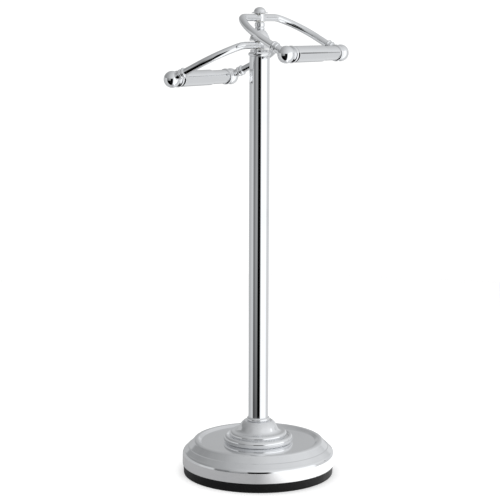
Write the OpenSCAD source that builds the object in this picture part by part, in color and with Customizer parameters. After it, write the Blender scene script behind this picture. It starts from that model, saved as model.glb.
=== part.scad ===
// Free-standing toilet roll storage holder: a weighted stepped base, a round post and two swinging
// yokes, one above the other, each carrying a spring-loaded roller between two ball ends.
// Millimetres, +Z up, origin on the floor at the centre of the base. The upper yoke reaches to +X and
// the lower yoke to -X; both rollers lie along Y.

/* [Display] */

// sub-part to build, or all for the whole holder

/* [Base] */

// outer radius of the chrome base cover
cover_r = 97.8; // [72:0.1:122]
// how far the top of the black ring stands inside the wall of the cover
foot_ring_inset = 0.5; // [0.3:0.1:4]
// how far the black ring draws in from its top down to the floor
foot_ring_taper = 1; // [0.5:0.1:2.5]
// height of the black ring that shows below the cover
foot_ring_h = 12; // [6:0.5:20]
// height above the floor of the top of the upright wall of the cover
cover_wall_top = 25; // [18:0.5:40]
// height above the floor of the flat mirror plate on top of the cover
plate_z = 40.8; // [34:0.2:60]
// how far the rolled rim stands above the mirror plate
rim_rise = 3.2; // [1:0.1:8]
// distance from the wall of the cover in to the crest of the rolled rim
rim_inset = 18.3; // [14:0.1:30]
// sheet thickness of the cover
cover_sheet = 1.2; // [0.8:0.1:2]
// thickness of the cast weight inside the cover
weight_h = 15.4; // [8:0.2:22]

/* [Pedestal] */

// radius of the lower round bead of the flange
flange_r = 44.8; // [40:0.1:60]
// how far the upper bead stands in from the lower one
flange_step_w = 7.8; // [6.5:0.1:9]
// how far the foot of the bell stands in from the lower bead
bell_foot_inset = 14.4; // [12.2:0.1:17]
// height of each of the two steps of the flange
flange_step_h = 5.6; // [4.6:0.1:6.4]
// height of the bell above the two steps
flange_bell_h = 16; // [13:0.5:30]

/* [Post] */

// outer radius of the post tube
post_r = 12.7; // [10:0.1:16]
// wall thickness of the post tube
post_wall = 1.2; // [0.8:0.1:2.5]
// length of the post tube
post_length = 461.1; // [300:0.1:700]
// radius of the turned bead at the top of the post
post_bead_r = 14.2; // [12:0.1:20]
// radius of the turned bead at the foot of the post
foot_bead_r = 14.9; // [13.4:0.1:18]
// height of the turned ring at the foot of the post
post_foot_h = 5.7; // [3:0.1:10]
// height of the bead on the collar at the top of the post
collar_bead_h = 5.2; // [3:0.1:8]
// height of the plain neck on the collar above its bead
collar_neck_h = 3.5; // [1:0.1:6]

/* [Head] */

// radius of the long rod that pulls the post down on the base
tie_rod_r = 4; // [3:0.1:5]
// radius of the stud that the two yokes turn on
stud_r = 3; // [2.5:0.1:3.6]
// radius of the boss in the middle of each yoke
hub_r = 6.2; // [5:0.1:9]
// height of the boss in the middle of each yoke
hub_h = 9.2; // [9:0.1:16]
// thickness of the washers above and below each boss
washer_h = 0.5; // [0.4:0.1:1.5]
// air left between a boss and each of its washers
washer_gap = 0.2; // [0.15:0.05:0.5]
// radius of the foot of the bell-shaped spacer between the yokes
bell_foot_r = 12.8; // [10:0.1:18]
// height of the straight foot of the bell-shaped spacer
bell_foot_h = 2.4; // [1.6:0.1:6]
// height of the domed part of the bell-shaped spacer
bell_dome_h = 10.5; // [6:0.1:16]
// radius of the slim neck above the bell
neck_r = 5.2; // [4.4:0.1:6]
// height of the slim neck above the bell
neck_h = 10.5; // [8:0.1:16]
// radius of the domed finial at its foot
finial_r = 10.2; // [8:0.1:14]
// height of the domed finial
finial_h = 7.7; // [6.5:0.1:16]

/* [Yokes] */

// radius of the bent rod of each yoke
rod_r = 4.5; // [4:0.1:5]
// distance from the middle of the yoke to each ball centre, along the roller
half_span = 68; // [60:0.5:80]
// tilt of the first bend below the horizontal
first_bend_tilt = 30; // [20:1:40]
// angle turned through by the first bend
first_bend_angle = 41; // [30:1:50]
// centre-line radius of the first bend
first_bend_r = 20; // [12:1:26]
// centre-line radius of the second, wider bend
second_bend_r = 60; // [45:1:64]
// slope of the straight legs of the upper yoke below the horizontal
upper_leg_slope = 29; // [15:1:35]
// the same slope on the lower yoke
lower_leg_slope = 25; // [15:1:35]
// straight run of each leg of the upper yoke from the end of the bend to the ball centre
upper_leg_run = 39; // [34:0.5:60]
// the same straight run on the lower yoke, which reaches a little further out
lower_leg_run = 45.5; // [36:0.5:60]
// radius of the ball ends
ball_r = 10.5; // [9:0.1:14]
// distance from the ball centre to its flat face beside the roller
ball_face = 8.2; // [7:0.1:9]
// radius of the turned neck between ball and collar
ball_neck_r = 5.2; // [4.8:0.1:6.4]
// radius of the two beads on each collar
collar_r = 6.6; // [5.6:0.1:9]
// length of each two-bead collar
collar_length = 8; // [6:0.1:12]
// distance from the ball centre to the nearer end of the collar
collar_start = 14; // [12.5:0.1:18]

/* [Rollers] */

// outer radius of the outer sleeve of each roller
outer_sleeve_r = 10; // [9:0.1:13]
// wall thickness of both sleeves
sleeve_wall = 0.95; // [0.8:0.05:1.4]
// distance from the middle of the roller to the open end of the outer sleeve
outer_sleeve_reach = 18; // [8:0.5:26]
// distance from the middle of the roller to the hidden end of the inner sleeve
inner_sleeve_back = 6; // [2:0.5:12]
// radius of the bead on each end cap
cap_bead_r = 10.5; // [10:0.1:14]
// length of each end cap that shows
cap_length = 9.4; // [8:0.1:14]
// radius of the pin on each end cap
pin_r = 3; // [2.4:0.1:3.4]
// radius of the coil of the spring, to the centre of the wire
coil_r = 6.2; // [5:0.1:6.6]
// radius of the spring wire
wire_r = 0.6; // [0.4:0.05:0.8]
// number of turns of the spring
coil_turns = 8; // [6:1:10]

/* [Colours] */

// colour of the polished plating
chrome_colour = [0.78, 0.79, 0.81];
// colour of the black foot ring
foot_colour = [0.03, 0.03, 0.03];
// colour of the cast weight
weight_colour = [0.25, 0.25, 0.26];
// colour of the hidden rods, nut and washer
steel_colour = [0.6, 0.6, 0.62];
// colour of the thin washers beside the bosses
washer_colour = [0.85, 0.85, 0.83];

/* [Hidden] */

// every sub-part, from the floor up and then from the yokes out to the rollers

// segments on every round surface
$fn = 96;
// number of straight pieces in each turned curve
curve_steps = 8;
// radial clearance of every running fit
running_gap = 0.05;
// radial clearance of parts that are clamped or pressed together
seat_gap = 0.03;
// overlap used only to make cutting bodies pass through a face
cut_over = 1;

// thickness of the lip of the foot ring under the weight
foot_lip_h = 2.6;
// width of the lip of the foot ring under the weight
foot_lip_w = 5.5;
// rounding of the lower edge of the foot ring
foot_round = 1.2;
// height of the part of the foot ring that stands inside the cover
foot_upstand_h = 7;
// inner radius of the upright wall of the cover
cover_inner_r = cover_r - cover_sheet;
// largest radius of the black ring, and its radius on the floor
foot_ring_r = cover_r - foot_ring_inset;
foot_ring_floor_r = foot_ring_r - foot_ring_taper;
// radius of the crest of the rolled rim
rim_r = cover_r - rim_inset;
// distances from the wall of the cover in to the two sides of the groove under the rim
groove_outer_inset = 7.2;
groove_inner_inset = 8.2;
// radius of the weight, a little inside the foot ring's upstand
weight_r = cover_r - 5;
// inner radius of the foot ring's upstand
foot_inner_r = weight_r + 0.2;
// top of the flat part of the weight
weight_top = foot_lip_h + weight_h;
// radius of the weight's middle boss, which carries the cover and the post
weight_boss_r = 26;
// underside of the mirror plate
plate_under = plate_z - cover_sheet;
// radius of the pocket in the weight for the nut
pocket_r = 15;
// height of the roof of that pocket
pocket_top = 10;
// thickness and radius of the washer in the pocket
base_washer_h = 1.6;
base_washer_r = 11;
// height and corner radius of the nut
nut_h = 6.4;
nut_corner_r = 7.5;
// height of the lower end of the tie rod
tie_rod_bottom = 1.6;

// half width and half height of the two beads of the flange
lower_bead_w = 3.3;
lower_bead_h = 4.6;
upper_bead_w = 3.2;
upper_bead_h = 3.6;
// middle of the round of the bell: its radius, its depth below the top of the flange and its half height
dome_middle_r = 7.7;
dome_depth = 14.5;
dome_h = 18;
// angles above the horizontal at which the round of the bell starts and stops
dome_start = 25;
dome_stop = 55;

// levels of the flange and the foot of the post
flange_second_z = plate_z + flange_step_h;
flange_bell_z = flange_second_z + flange_step_h;
flange_top = flange_bell_z + flange_bell_h;
post_bottom = flange_top + post_foot_h;
post_top = post_bottom + post_length;
// gap left between two lengths of the rod, which a small weld bead fills
joint_trim = 0.2;
// how far that weld bead stands out of the rod
weld_proud = 0.08;
// radius and length of the plugs that centre the tube
plug_r = post_r - post_wall - seat_gap;
foot_plug_h = 10;
collar_plug_h = 16;
// depth of the tie rod in the collar and of the stud in the collar
tie_rod_grip = 7;
stud_grip = 14;

// levels of the stack of turned pieces on the stud
collar_top = post_top + collar_bead_h + collar_neck_h;
lower_hub_bottom = collar_top + washer_h + washer_gap;
lower_axis_z = lower_hub_bottom + hub_h / 2;
lower_cap_z = lower_hub_bottom + hub_h + washer_gap;
bell_bottom = lower_cap_z + washer_h;
neck_bottom = bell_bottom + bell_foot_h + bell_dome_h;
upper_seat_z = neck_bottom + neck_h;
upper_hub_bottom = upper_seat_z + washer_h + washer_gap;
upper_axis_z = upper_hub_bottom + hub_h / 2;
upper_cap_z = upper_hub_bottom + hub_h + washer_gap;
finial_bottom = upper_cap_z + washer_h;
// radius of the head of the bell-shaped spacer, and the angles at which its dome starts and stops
bell_head_r = 6.9;
bell_start = 20;
bell_stop = 55;
// depth of the stud in the finial
finial_grip = 4.6;
// radius of the thin washers beside the bosses
hub_washer_r = hub_r + 0.9;
// bore of the pieces that are clamped on the stud
clamped_bore_r = stud_r + 0.1;
// bore of the bosses that turn on the stud
hub_bore_r = stud_r + running_gap;

// length and slope of the legs of each yoke
upper_leg = [upper_leg_run, upper_leg_slope];
lower_leg = [lower_leg_run, lower_leg_slope];
// directions of the rod before and after the first bend
first_side = [cos(first_bend_tilt), 0, -sin(first_bend_tilt)];
after_side = [
    cos(first_bend_angle) * cos(first_bend_tilt),
    -sin(first_bend_angle),
    -cos(first_bend_angle) * sin(first_bend_tilt)
];
after_along = [
    sin(first_bend_angle) * cos(first_bend_tilt),
    cos(first_bend_angle),
    -sin(first_bend_angle) * sin(first_bend_tilt)
];
after_up = [sin(first_bend_tilt), 0, cos(first_bend_tilt)];
// how far the first bend carries the rod along Y
first_run = first_bend_r * sin(first_bend_angle);

// spigot of the rod inside the ball, and its two ends measured from the ball centre
spigot_r = 3;
spigot_end = 5;
// the rod keeps its full radius up to the collar's outer end
rod_end = collar_start + 0.2;
// depth of the roller's pin in the ball
pin_depth = 7.2;
// extra depth of the socket beyond the pin
socket_spare = 0.5;
// air between the ball's flat face and the end cap
cap_gap = 0.4;

// distances along the roller from its middle
cap_start = half_span - ball_face - cap_gap;
cap_end = cap_start - cap_length;
cap_plug_h = 6;
pin_tip = half_span - ball_face + pin_depth;
// radii of the two sleeves
outer_bore_r = outer_sleeve_r - sleeve_wall;
inner_sleeve_r = outer_bore_r - running_gap;
inner_bore_r = inner_sleeve_r - sleeve_wall;
// thickness of the plug that the spring pushes on
spring_seat_h = 4;
// radius of the rounded rim on the nose of each cap
cap_nose_r = 6.4;
// width of the bead on each cap
cap_bead_w = 4.2;
// radius of the cove beside the bead of each cap
cap_cove_r = 8.3;
// sides of the spring wire and steps in each of its turns
wire_sides = 8;
wire_steps = 14;

// points of an arc with its centre at c, from angle a to angle b
function arc(c, r, a, b) = [
    for (i = [0:curve_steps])
        [c[0] + r * cos(a + (b - a) * i / curve_steps), c[1] + r * sin(a + (b - a) * i / curve_steps)]
];

// points of a quarter of an ellipse with its centre at c and half axes w and h
function oval(c, w, h, a, b) = [
    for (i = [0:curve_steps])
        [c[0] + w * cos(a + (b - a) * i / curve_steps), c[1] + h * sin(a + (b - a) * i / curve_steps)]
];

// a turned solid from its profile, given as radius and height
module turned(points) {
    rotate_extrude()
        polygon(points);
}

// a round bar along Z from height a to height b
module bar(r, a, b) {
    translate([0, 0, a])
        cylinder(r = r, h = b - a);
}

// a turned solid laid along Y: its profile's height runs along +Y
module turned_along_y(points) {
    rotate([-90, 0, 0])
        turned(points);
}

// a round bar along Y from a to b
module bar_y(r, a, b) {
    rotate([-90, 0, 0])
        bar(r, a, b);
}

// the black ring that the holder stands on, with a lip under the weight
module foot_ring() {
    profile = concat(
        [[foot_inner_r - foot_lip_w, 0]],
        arc([foot_ring_floor_r - foot_round, foot_round], foot_round, -90, -10),
        [
            [foot_ring_r, foot_ring_h - 1],
            [foot_ring_r - 0.3, foot_ring_h],
            [cover_inner_r - seat_gap, foot_ring_h],
            [cover_inner_r - seat_gap, foot_ring_h + foot_upstand_h],
            [foot_inner_r, foot_ring_h + foot_upstand_h],
            [foot_inner_r, foot_lip_h],
            [foot_inner_r - foot_lip_w, foot_lip_h]
        ]
    );
    color(foot_colour)
        turned(profile);
}

// the cast weight, with a boss up to the mirror plate and a pocket below for the nut
module base_weight() {
    color(weight_colour)
        difference() {
            union() {
                bar(weight_r, foot_lip_h, weight_top);
                bar(weight_boss_r, weight_top, plate_under);
            }
            bar(pocket_r, foot_lip_h - cut_over, pocket_top);
            bar(tie_rod_r + 0.2, 0, plate_z);
        }
}

// outline of the cover from its lower edge to its middle, moved in by the given amount
function cover_outline(inset) = concat(
    [[cover_r - inset, foot_ring_h]],
    oval([cover_r - 5, cover_wall_top], 5 - inset, 6.4 - inset, 0, 62),
    [
        [cover_r - groove_outer_inset - inset, cover_wall_top + 10.2 - inset],
        [cover_r - groove_inner_inset - inset, cover_wall_top + 10.4 - inset]
    ],
    oval([rim_r, plate_z], 4.6, rim_rise - inset, 20, 90),
    oval([rim_r, plate_z + rim_rise - inset - 2.2], 3.4, 2.2, 90, 150),
    [
        [rim_r - 6, plate_z - inset],
        [0, plate_z - inset]
    ]
);

// the spun chrome cover over the weight
module base_cover() {
    outer = cover_outline(0);
    inner = cover_outline(cover_sheet);
    color(chrome_colour)
        difference() {
            turned(concat([[0, foot_ring_h]], outer));
            turned(concat([[0, foot_ring_h - cut_over], [cover_inner_r, foot_ring_h - cut_over]], inner));
            bar(tie_rod_r + 0.2, foot_ring_h, plate_z + cut_over);
        }
}

// the washer in the pocket of the weight
module base_washer() {
    color(steel_colour)
        difference() {
            bar(base_washer_r, pocket_top - base_washer_h, pocket_top);
            bar(tie_rod_r + 0.1, 0, pocket_top + cut_over);
        }
}

// the nut that tightens the tie rod
module base_nut() {
    top = pocket_top - base_washer_h;
    color(steel_colour)
        difference() {
            translate([0, 0, top - nut_h])
                cylinder(r = nut_corner_r, h = nut_h, $fn = 6);
            bar(tie_rod_r + seat_gap, 0, top + cut_over);
        }
}

// the flange that rises from the mirror plate to the post: two beads, a hollow and a bell
module pedestal_flange() {
    upper_bead_r = flange_r - flange_step_w;
    cove_foot = [flange_r - bell_foot_inset, flange_bell_z + 2.4];
    cove_head = [cove_foot[0] - 4.9, flange_top - 10.1];
    cove_w = (cove_foot[0] - cove_head[0]) / (cos(dome_start) - cos(85));
    cove_h = (cove_head[1] - cove_foot[1]) / (sin(85) - sin(dome_start));
    dome_end = cove_head[0] - 1.5;
    dome_w = (dome_end - dome_middle_r) / cos(dome_start);
    bell_neck_r = post_r + 0.7;
    profile = concat(
        [[0, plate_z], [flange_r - 2.6, plate_z]],
        oval([flange_r - lower_bead_w, plate_z + lower_bead_h], lower_bead_w, lower_bead_h, -68, 42),
        oval([flange_r - lower_bead_w, plate_z + lower_bead_h], lower_bead_w, lower_bead_h, 56, 155),
        [[upper_bead_r - 0.7, flange_second_z + 0.7]],
        oval([upper_bead_r - upper_bead_w, flange_second_z + 4.9], upper_bead_w, upper_bead_h, -45, 90),
        oval(
            [cove_foot[0] + cove_w * cos(85), cove_foot[1] + cove_h * sin(85)],
            cove_w, cove_h, 265, 180 + dome_start
        ),
        oval([dome_middle_r, flange_top - dome_depth], dome_w, dome_h, dome_start, dome_stop),
        [[bell_neck_r, flange_top], [0, flange_top]]
    );
    color(chrome_colour)
        difference() {
            turned(profile);
            bar(tie_rod_r + 0.2, plate_z - cut_over, flange_top + cut_over);
        }
}

// the turned ring between the flange and the tube, with a plug that centres the tube
module post_foot_ring() {
    bead_h = post_foot_h - 0.8;
    profile = concat(
        [[0, flange_top], [post_r, flange_top]],
        oval([post_r, flange_top + bead_h / 2], foot_bead_r - post_r, bead_h / 2, -90, 90),
        [[post_r - 0.2, flange_top + bead_h], [post_r - 0.2, post_bottom]],
        [[plug_r, post_bottom], [plug_r, post_bottom + foot_plug_h], [0, post_bottom + foot_plug_h]]
    );
    color(chrome_colour)
        difference() {
            turned(profile);
            bar(tie_rod_r + 0.2, flange_top - cut_over, post_bottom + foot_plug_h + cut_over);
        }
}

// the round post
module post_tube() {
    color(chrome_colour)
        difference() {
            bar(post_r, post_bottom, post_top);
            bar(post_r - post_wall, post_bottom - cut_over, post_top + cut_over);
        }
}

// the long rod inside the post
module tie_rod() {
    color(steel_colour)
        bar(tie_rod_r, tie_rod_bottom, post_top - collar_plug_h + tie_rod_grip);
}

// the turned collar that closes the top of the post and holds the stud
module post_collar() {
    profile = concat(
        [[0, post_top - collar_plug_h], [plug_r, post_top - collar_plug_h], [plug_r, post_top]],
        [[post_r - 0.3, post_top], [post_r - 0.3, post_top + 0.6]],
        oval(
            [post_r - 0.3, post_top + collar_bead_h / 2 + 0.3],
            post_bead_r - post_r + 0.3,
            collar_bead_h / 2 - 0.3,
            -90, 90
        ),
        [[post_r - 0.9, post_top + collar_bead_h + 0.4], [post_r - 0.9, collar_top - 0.8]],
        [[post_r - 1.7, collar_top], [0, collar_top]]
    );
    color(chrome_colour)
        difference() {
            turned(profile);
            bar(
                tie_rod_r + seat_gap,
                post_top - collar_plug_h - cut_over,
                post_top - collar_plug_h + tie_rod_grip + 0.5
            );
            bar(stud_r + seat_gap, collar_top - stud_grip, collar_top + cut_over);
        }
}

// the stud that the two yokes turn on
module head_stud() {
    color(steel_colour)
        bar(stud_r, collar_top - stud_grip + 0.3, finial_bottom + finial_grip - 0.3);
}

// a thin washer on the stud with its underside at z
module stud_washer(z) {
    color(washer_colour)
        difference() {
            bar(hub_washer_r, z, z + washer_h);
            bar(clamped_bore_r, z - cut_over, z + washer_h + cut_over);
        }
}

// washer under the lower yoke
module lower_seat_washer() {
    stud_washer(collar_top);
}

// washer over the lower yoke
module lower_cap_washer() {
    stud_washer(lower_cap_z);
}

// washer under the upper yoke
module upper_seat_washer() {
    stud_washer(upper_seat_z);
}

// washer over the upper yoke
module upper_cap_washer() {
    stud_washer(upper_cap_z);
}

// the bell-shaped spacer between the two yokes
module bell_spacer() {
    dome_bottom = bell_bottom + bell_foot_h;
    edge_r = bell_foot_r - 0.2;
    dome_w = (edge_r - bell_head_r) / (cos(bell_start) - cos(bell_stop));
    dome_half_h = bell_dome_h / (sin(bell_stop) - sin(bell_start));
    profile = concat(
        [[0, bell_bottom], [bell_foot_r - 0.6, bell_bottom]],
        oval([bell_foot_r - 0.6, bell_bottom + bell_foot_h / 2], 0.6, bell_foot_h / 2, -90, 0),
        oval(
            [edge_r - dome_w * cos(bell_start), dome_bottom - dome_half_h * sin(bell_start)],
            dome_w, dome_half_h, bell_start, bell_stop
        ),
        [[0, neck_bottom]]
    );
    color(chrome_colour)
        difference() {
            turned(profile);
            bar(clamped_bore_r, bell_bottom - cut_over, neck_bottom + cut_over);
        }
}

// the slim neck with a bead and a barrel, which carries the upper yoke
module neck_spacer() {
    bead_h = neck_h * 0.36;
    barrel_bottom = neck_bottom + neck_h * 0.42;
    barrel_h = neck_h * 0.48;
    profile = concat(
        [[0, neck_bottom], [neck_r, neck_bottom]],
        oval([neck_r, neck_bottom + bead_h / 2 + 0.1], 1, bead_h / 2, -90, 90),
        oval([neck_r, barrel_bottom + 0.8], 1.1, 0.8, -90, 0),
        oval([neck_r, barrel_bottom + barrel_h - 0.8], 1.1, 0.8, 0, 90),
        [[neck_r, upper_seat_z], [0, upper_seat_z]]
    );
    color(chrome_colour)
        difference() {
            turned(profile);
            bar(clamped_bore_r, neck_bottom - cut_over, upper_seat_z + cut_over);
        }
}

// the domed finial that screws down on the stud
module finial() {
    brim_r = finial_r - 0.6;
    dome_bottom = finial_bottom + 1.7;
    profile = concat(
        [[0, finial_bottom], [brim_r, finial_bottom]],
        oval([brim_r, finial_bottom + 0.5], 0.6, 0.5, -90, 70),
        oval([finial_r - 0.5, finial_bottom + 2.6], 2.4, 1.5, 265, 190),
        oval([0, dome_bottom], finial_r - 2.8, finial_h - 1.7, 8, 82),
        [[0, finial_bottom + finial_h]]
    );
    color(chrome_colour)
        difference() {
            turned(profile);
            bar(stud_r + seat_gap, finial_bottom - cut_over, finial_bottom + finial_grip);
        }
}

// a bend that starts at the origin along +Y and turns towards +X, a little short at both ends
module elbow(radius, angle) {
    trim_angle = joint_trim / radius * 180 / PI;
    translate([radius, 0, 0])
        rotate([0, 0, 180 - angle + trim_angle])
            rotate_extrude(angle = angle - 2 * trim_angle)
                translate([radius, 0])
                    circle(r = rod_r);
}

// the small rounded weld that joins two lengths of the rod
module knuckle() {
    sphere(r = rod_r + weld_proud);
}

// roll between the two bends and angle of the second bend, so that legs of the given slope end up parallel
function bend_roll(slope) = -atan(tan(first_bend_tilt - slope) / cos(first_bend_angle));
function second_bend_angle(slope) = acos(sin(first_bend_angle) * cos(first_bend_tilt - slope));

// direction that the second bend turns towards, and how far it carries the rod
function second_side(slope) = cos(bend_roll(slope)) * after_side - sin(bend_roll(slope)) * after_up;
function second_shift(slope) =
    second_bend_r * (1 - cos(second_bend_angle(slope))) * second_side(slope)
    + second_bend_r * sin(second_bend_angle(slope)) * after_along;

// straight middle of the rod, on each side of the boss
function middle_run(slope) = half_span - first_run - second_shift(slope)[1];

// end of the second bend measured from the boss centre
function bend_end(slope) = [0, middle_run(slope) + first_run, 0]
    + first_bend_r * (1 - cos(first_bend_angle)) * first_side
    + second_shift(slope);

// ball centre measured from the boss centre, for a leg given as its length and slope
function ball_centre(leg) = bend_end(leg[1]) + leg[0] * [cos(leg[1]), 0, -sin(leg[1])];

// one side of the bent rod, from the end of its straight middle out to the ball on +Y
module yoke_side(leg) {
    run = leg[0];
    slope = leg[1];
    translate([0, middle_run(slope), 0]) {
        knuckle();
        rotate([0, first_bend_tilt, 0]) {
            elbow(first_bend_r, first_bend_angle);
            translate([first_bend_r * (1 - cos(first_bend_angle)), first_run, 0]) {
                knuckle();
                rotate([0, 0, -first_bend_angle])
                    rotate([0, bend_roll(slope), 0])
                        elbow(second_bend_r, second_bend_angle(slope));
            }
        }
    }
    translate(ball_centre(leg))
        rotate([0, 90 + slope, 0]) {
            translate([0, 0, -run])
                knuckle();
            bar(rod_r, -run + joint_trim, -rod_end);
            bar(spigot_r, -rod_end - 0.5, -spigot_end);
        }
}

// one bent yoke with its boss, bored for the stud, centred on the boss
module yoke(leg) {
    middle = middle_run(leg[1]);
    color(chrome_colour)
        difference() {
            union() {
                translate([0, 0, -hub_h / 2])
                    cylinder(r = hub_r, h = hub_h);
                bar_y(rod_r, -middle + joint_trim, middle - joint_trim);
                yoke_side(leg);
                mirror([0, 1, 0])
                    yoke_side(leg);
            }
            bar(hub_bore_r, -hub_h, hub_h);
        }
}

// the two-bead collar on the leg, measured from the ball centre back along the leg
module collar(slope) {
    bead_w = collar_length * 0.36;
    waist_r = collar_r - 1.2;
    near_bead = -collar_start - bead_w / 2 - 0.3;
    far_bead = -collar_start - collar_length + bead_w / 2 + 0.3;
    profile = concat(
        [[0, -collar_start - collar_length], [waist_r, -collar_start - collar_length]],
        oval([waist_r, far_bead], collar_r - waist_r, bead_w / 2, -90, 90),
        oval([waist_r, near_bead], collar_r - waist_r, bead_w / 2, -90, 90),
        [[waist_r, -collar_start], [0, -collar_start]]
    );
    color(chrome_colour)
        rotate([0, 90 + slope, 0])
            difference() {
                turned(profile);
                bar(rod_r + seat_gap, -collar_start - collar_length - cut_over, -rod_end);
                bar(spigot_r + seat_gap, -rod_end - cut_over, 0);
            }
}

// the ball end for the +Y side: its flat face and socket look towards -Y
module ball(slope) {
    color(chrome_colour)
        difference() {
            union() {
                rotate([-90, 0, 0])
                    sphere(r = ball_r);
                rotate([0, 90 + slope, 0])
                    bar(ball_neck_r, -collar_start, -ball_r / 2);
            }
            translate([-ball_r, -ball_face - 2 * ball_r, -ball_r])
                cube([2 * ball_r, 2 * ball_r, 2 * ball_r]);
            bar_y(pin_r + running_gap, -ball_r, -ball_face + pin_depth + socket_spare);
            rotate([0, 90 + slope, 0])
                bar(spigot_r + seat_gap, -collar_start - cut_over, -spigot_end + 0.3);
        }
}

// places a piece that belongs to the upper yoke
module at_upper_yoke() {
    translate([0, 0, upper_axis_z])
        children();
}

// places a piece that belongs to the lower yoke, which reaches the other way
module at_lower_yoke() {
    translate([0, 0, lower_axis_z])
        rotate([0, 0, 180])
            children();
}

// the whole upper yoke rod
module upper_yoke() {
    at_upper_yoke()
        yoke(upper_leg);
}

// collar on the -Y leg of the upper yoke
module upper_front_collar() {
    at_upper_yoke()
        mirror([0, 1, 0])
            translate(ball_centre(upper_leg))
                collar(upper_leg_slope);
}

// collar on the +Y leg of the upper yoke
module upper_back_collar() {
    at_upper_yoke()
        translate(ball_centre(upper_leg))
            collar(upper_leg_slope);
}

// ball on the -Y leg of the upper yoke
module upper_front_ball() {
    at_upper_yoke()
        mirror([0, 1, 0])
            translate(ball_centre(upper_leg))
                ball(upper_leg_slope);
}

// ball on the +Y leg of the upper yoke
module upper_back_ball() {
    at_upper_yoke()
        translate(ball_centre(upper_leg))
            ball(upper_leg_slope);
}

// the whole lower yoke rod
module lower_yoke() {
    at_lower_yoke()
        yoke(lower_leg);
}

// collar on the -Y leg of the lower yoke
module lower_front_collar() {
    at_lower_yoke()
        translate(ball_centre(lower_leg))
            collar(lower_leg_slope);
}

// collar on the +Y leg of the lower yoke
module lower_back_collar() {
    at_lower_yoke()
        mirror([0, 1, 0])
            translate(ball_centre(lower_leg))
                collar(lower_leg_slope);
}

// ball on the -Y leg of the lower yoke
module lower_front_ball() {
    at_lower_yoke()
        translate(ball_centre(lower_leg))
            ball(lower_leg_slope);
}

// ball on the +Y leg of the lower yoke
module lower_back_ball() {
    at_lower_yoke()
        mirror([0, 1, 0])
            translate(ball_centre(lower_leg))
                ball(lower_leg_slope);
}

// a turned end cap at the +Y end of a roller: pin, bead, cove and a plug into a sleeve
module end_cap(sleeve_r, plug_radius) {
    bead_middle = cap_start - 1.4 - cap_bead_w / 2;
    profile = concat(
        [[0, cap_end - cap_plug_h], [plug_radius, cap_end - cap_plug_h], [plug_radius, cap_end]],
        [[sleeve_r, cap_end], [sleeve_r, cap_end + 1]],
        [[cap_cove_r, cap_end + 2]],
        [[cap_cove_r, bead_middle - cap_bead_w / 2]],
        oval([cap_cove_r, bead_middle], cap_bead_r - cap_cove_r, cap_bead_w / 2, -90, 90),
        [[cap_nose_r + 0.8, cap_start - 1.2], [cap_nose_r, cap_start], [pin_r, cap_start]],
        [[pin_r, pin_tip - 0.4], [pin_r - 0.4, pin_tip], [0, pin_tip]]
    );
    color(chrome_colour)
        turned_along_y(profile);
}

// a helical wire along Y from a to b
module helix(a, b) {
    count = coil_turns * wire_steps;
    points = [
        for (i = [0:count])
            let (
                turn = 360 * i / wire_steps,
                y = a + wire_r + (b - a - 2 * wire_r) * i / count
            )
            for (j = [0:wire_sides - 1])
                let (
                    side = 360 * j / wire_sides,
                    r = coil_r + wire_r * cos(side)
                )
                [r * cos(turn), y + wire_r * sin(side), -r * sin(turn)]
    ];
    walls = [
        for (i = [0:count - 1])
            for (j = [0:wire_sides - 1])
                [
                    i * wire_sides + j,
                    i * wire_sides + (j + 1) % wire_sides,
                    (i + 1) * wire_sides + (j + 1) % wire_sides,
                    (i + 1) * wire_sides + j
                ]
    ];
    start_cap = [for (j = [0:wire_sides - 1]) wire_sides - 1 - j];
    end_cap_face = [for (j = [0:wire_sides - 1]) count * wire_sides + j];
    color(steel_colour)
        polyhedron(points = points, faces = concat(walls, [start_cap], [end_cap_face]));
}

// the fixed tube of a roller, towards -Y
module outer_sleeve() {
    color(chrome_colour)
        difference() {
            bar_y(outer_sleeve_r, -cap_end, outer_sleeve_reach);
            bar_y(outer_bore_r, -cap_end - cut_over, outer_sleeve_reach + cut_over);
        }
}

// the tube of a roller that pushes in, towards +Y
module inner_sleeve() {
    color(chrome_colour)
        difference() {
            bar_y(inner_sleeve_r, -inner_sleeve_back, cap_end);
            bar_y(inner_bore_r, -inner_sleeve_back - cut_over, cap_end + cut_over);
        }
}

// the cap on the outer sleeve, at the -Y end
module outer_cap() {
    mirror([0, 1, 0])
        end_cap(outer_sleeve_r, outer_bore_r - seat_gap);
}

// the cap on the inner sleeve, at the +Y end
module inner_cap() {
    end_cap(inner_sleeve_r, inner_bore_r - seat_gap);
}

// the plug in the inner sleeve that the spring pushes on
module spring_seat() {
    color(steel_colour)
        bar_y(inner_bore_r - seat_gap, -inner_sleeve_back, -inner_sleeve_back + spring_seat_h);
}

// the spring between the outer cap and the plug in the inner sleeve
module spring() {
    helix(-cap_end + cap_plug_h + 0.05, -inner_sleeve_back - 0.05);
}

// places a piece of the upper roller
module at_upper_roller() {
    middle = ball_centre(upper_leg);
    translate([middle[0], 0, upper_axis_z + middle[2]])
        children();
}

// places a piece of the lower roller
module at_lower_roller() {
    middle = ball_centre(lower_leg);
    translate([-middle[0], 0, lower_axis_z + middle[2]])
        children();
}

// fixed tube of the upper roller
module upper_outer_sleeve() {
    at_upper_roller()
        outer_sleeve();
}

// cap at the -Y end of the upper roller
module upper_outer_cap() {
    at_upper_roller()
        outer_cap();
}

// sliding tube of the upper roller
module upper_inner_sleeve() {
    at_upper_roller()
        inner_sleeve();
}

// cap at the +Y end of the upper roller
module upper_inner_cap() {
    at_upper_roller()
        inner_cap();
}

// spring plug of the upper roller
module upper_spring_seat() {
    at_upper_roller()
        spring_seat();
}

// spring of the upper roller
module upper_spring() {
    at_upper_roller()
        spring();
}

// fixed tube of the lower roller
module lower_outer_sleeve() {
    at_lower_roller()
        outer_sleeve();
}

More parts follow.
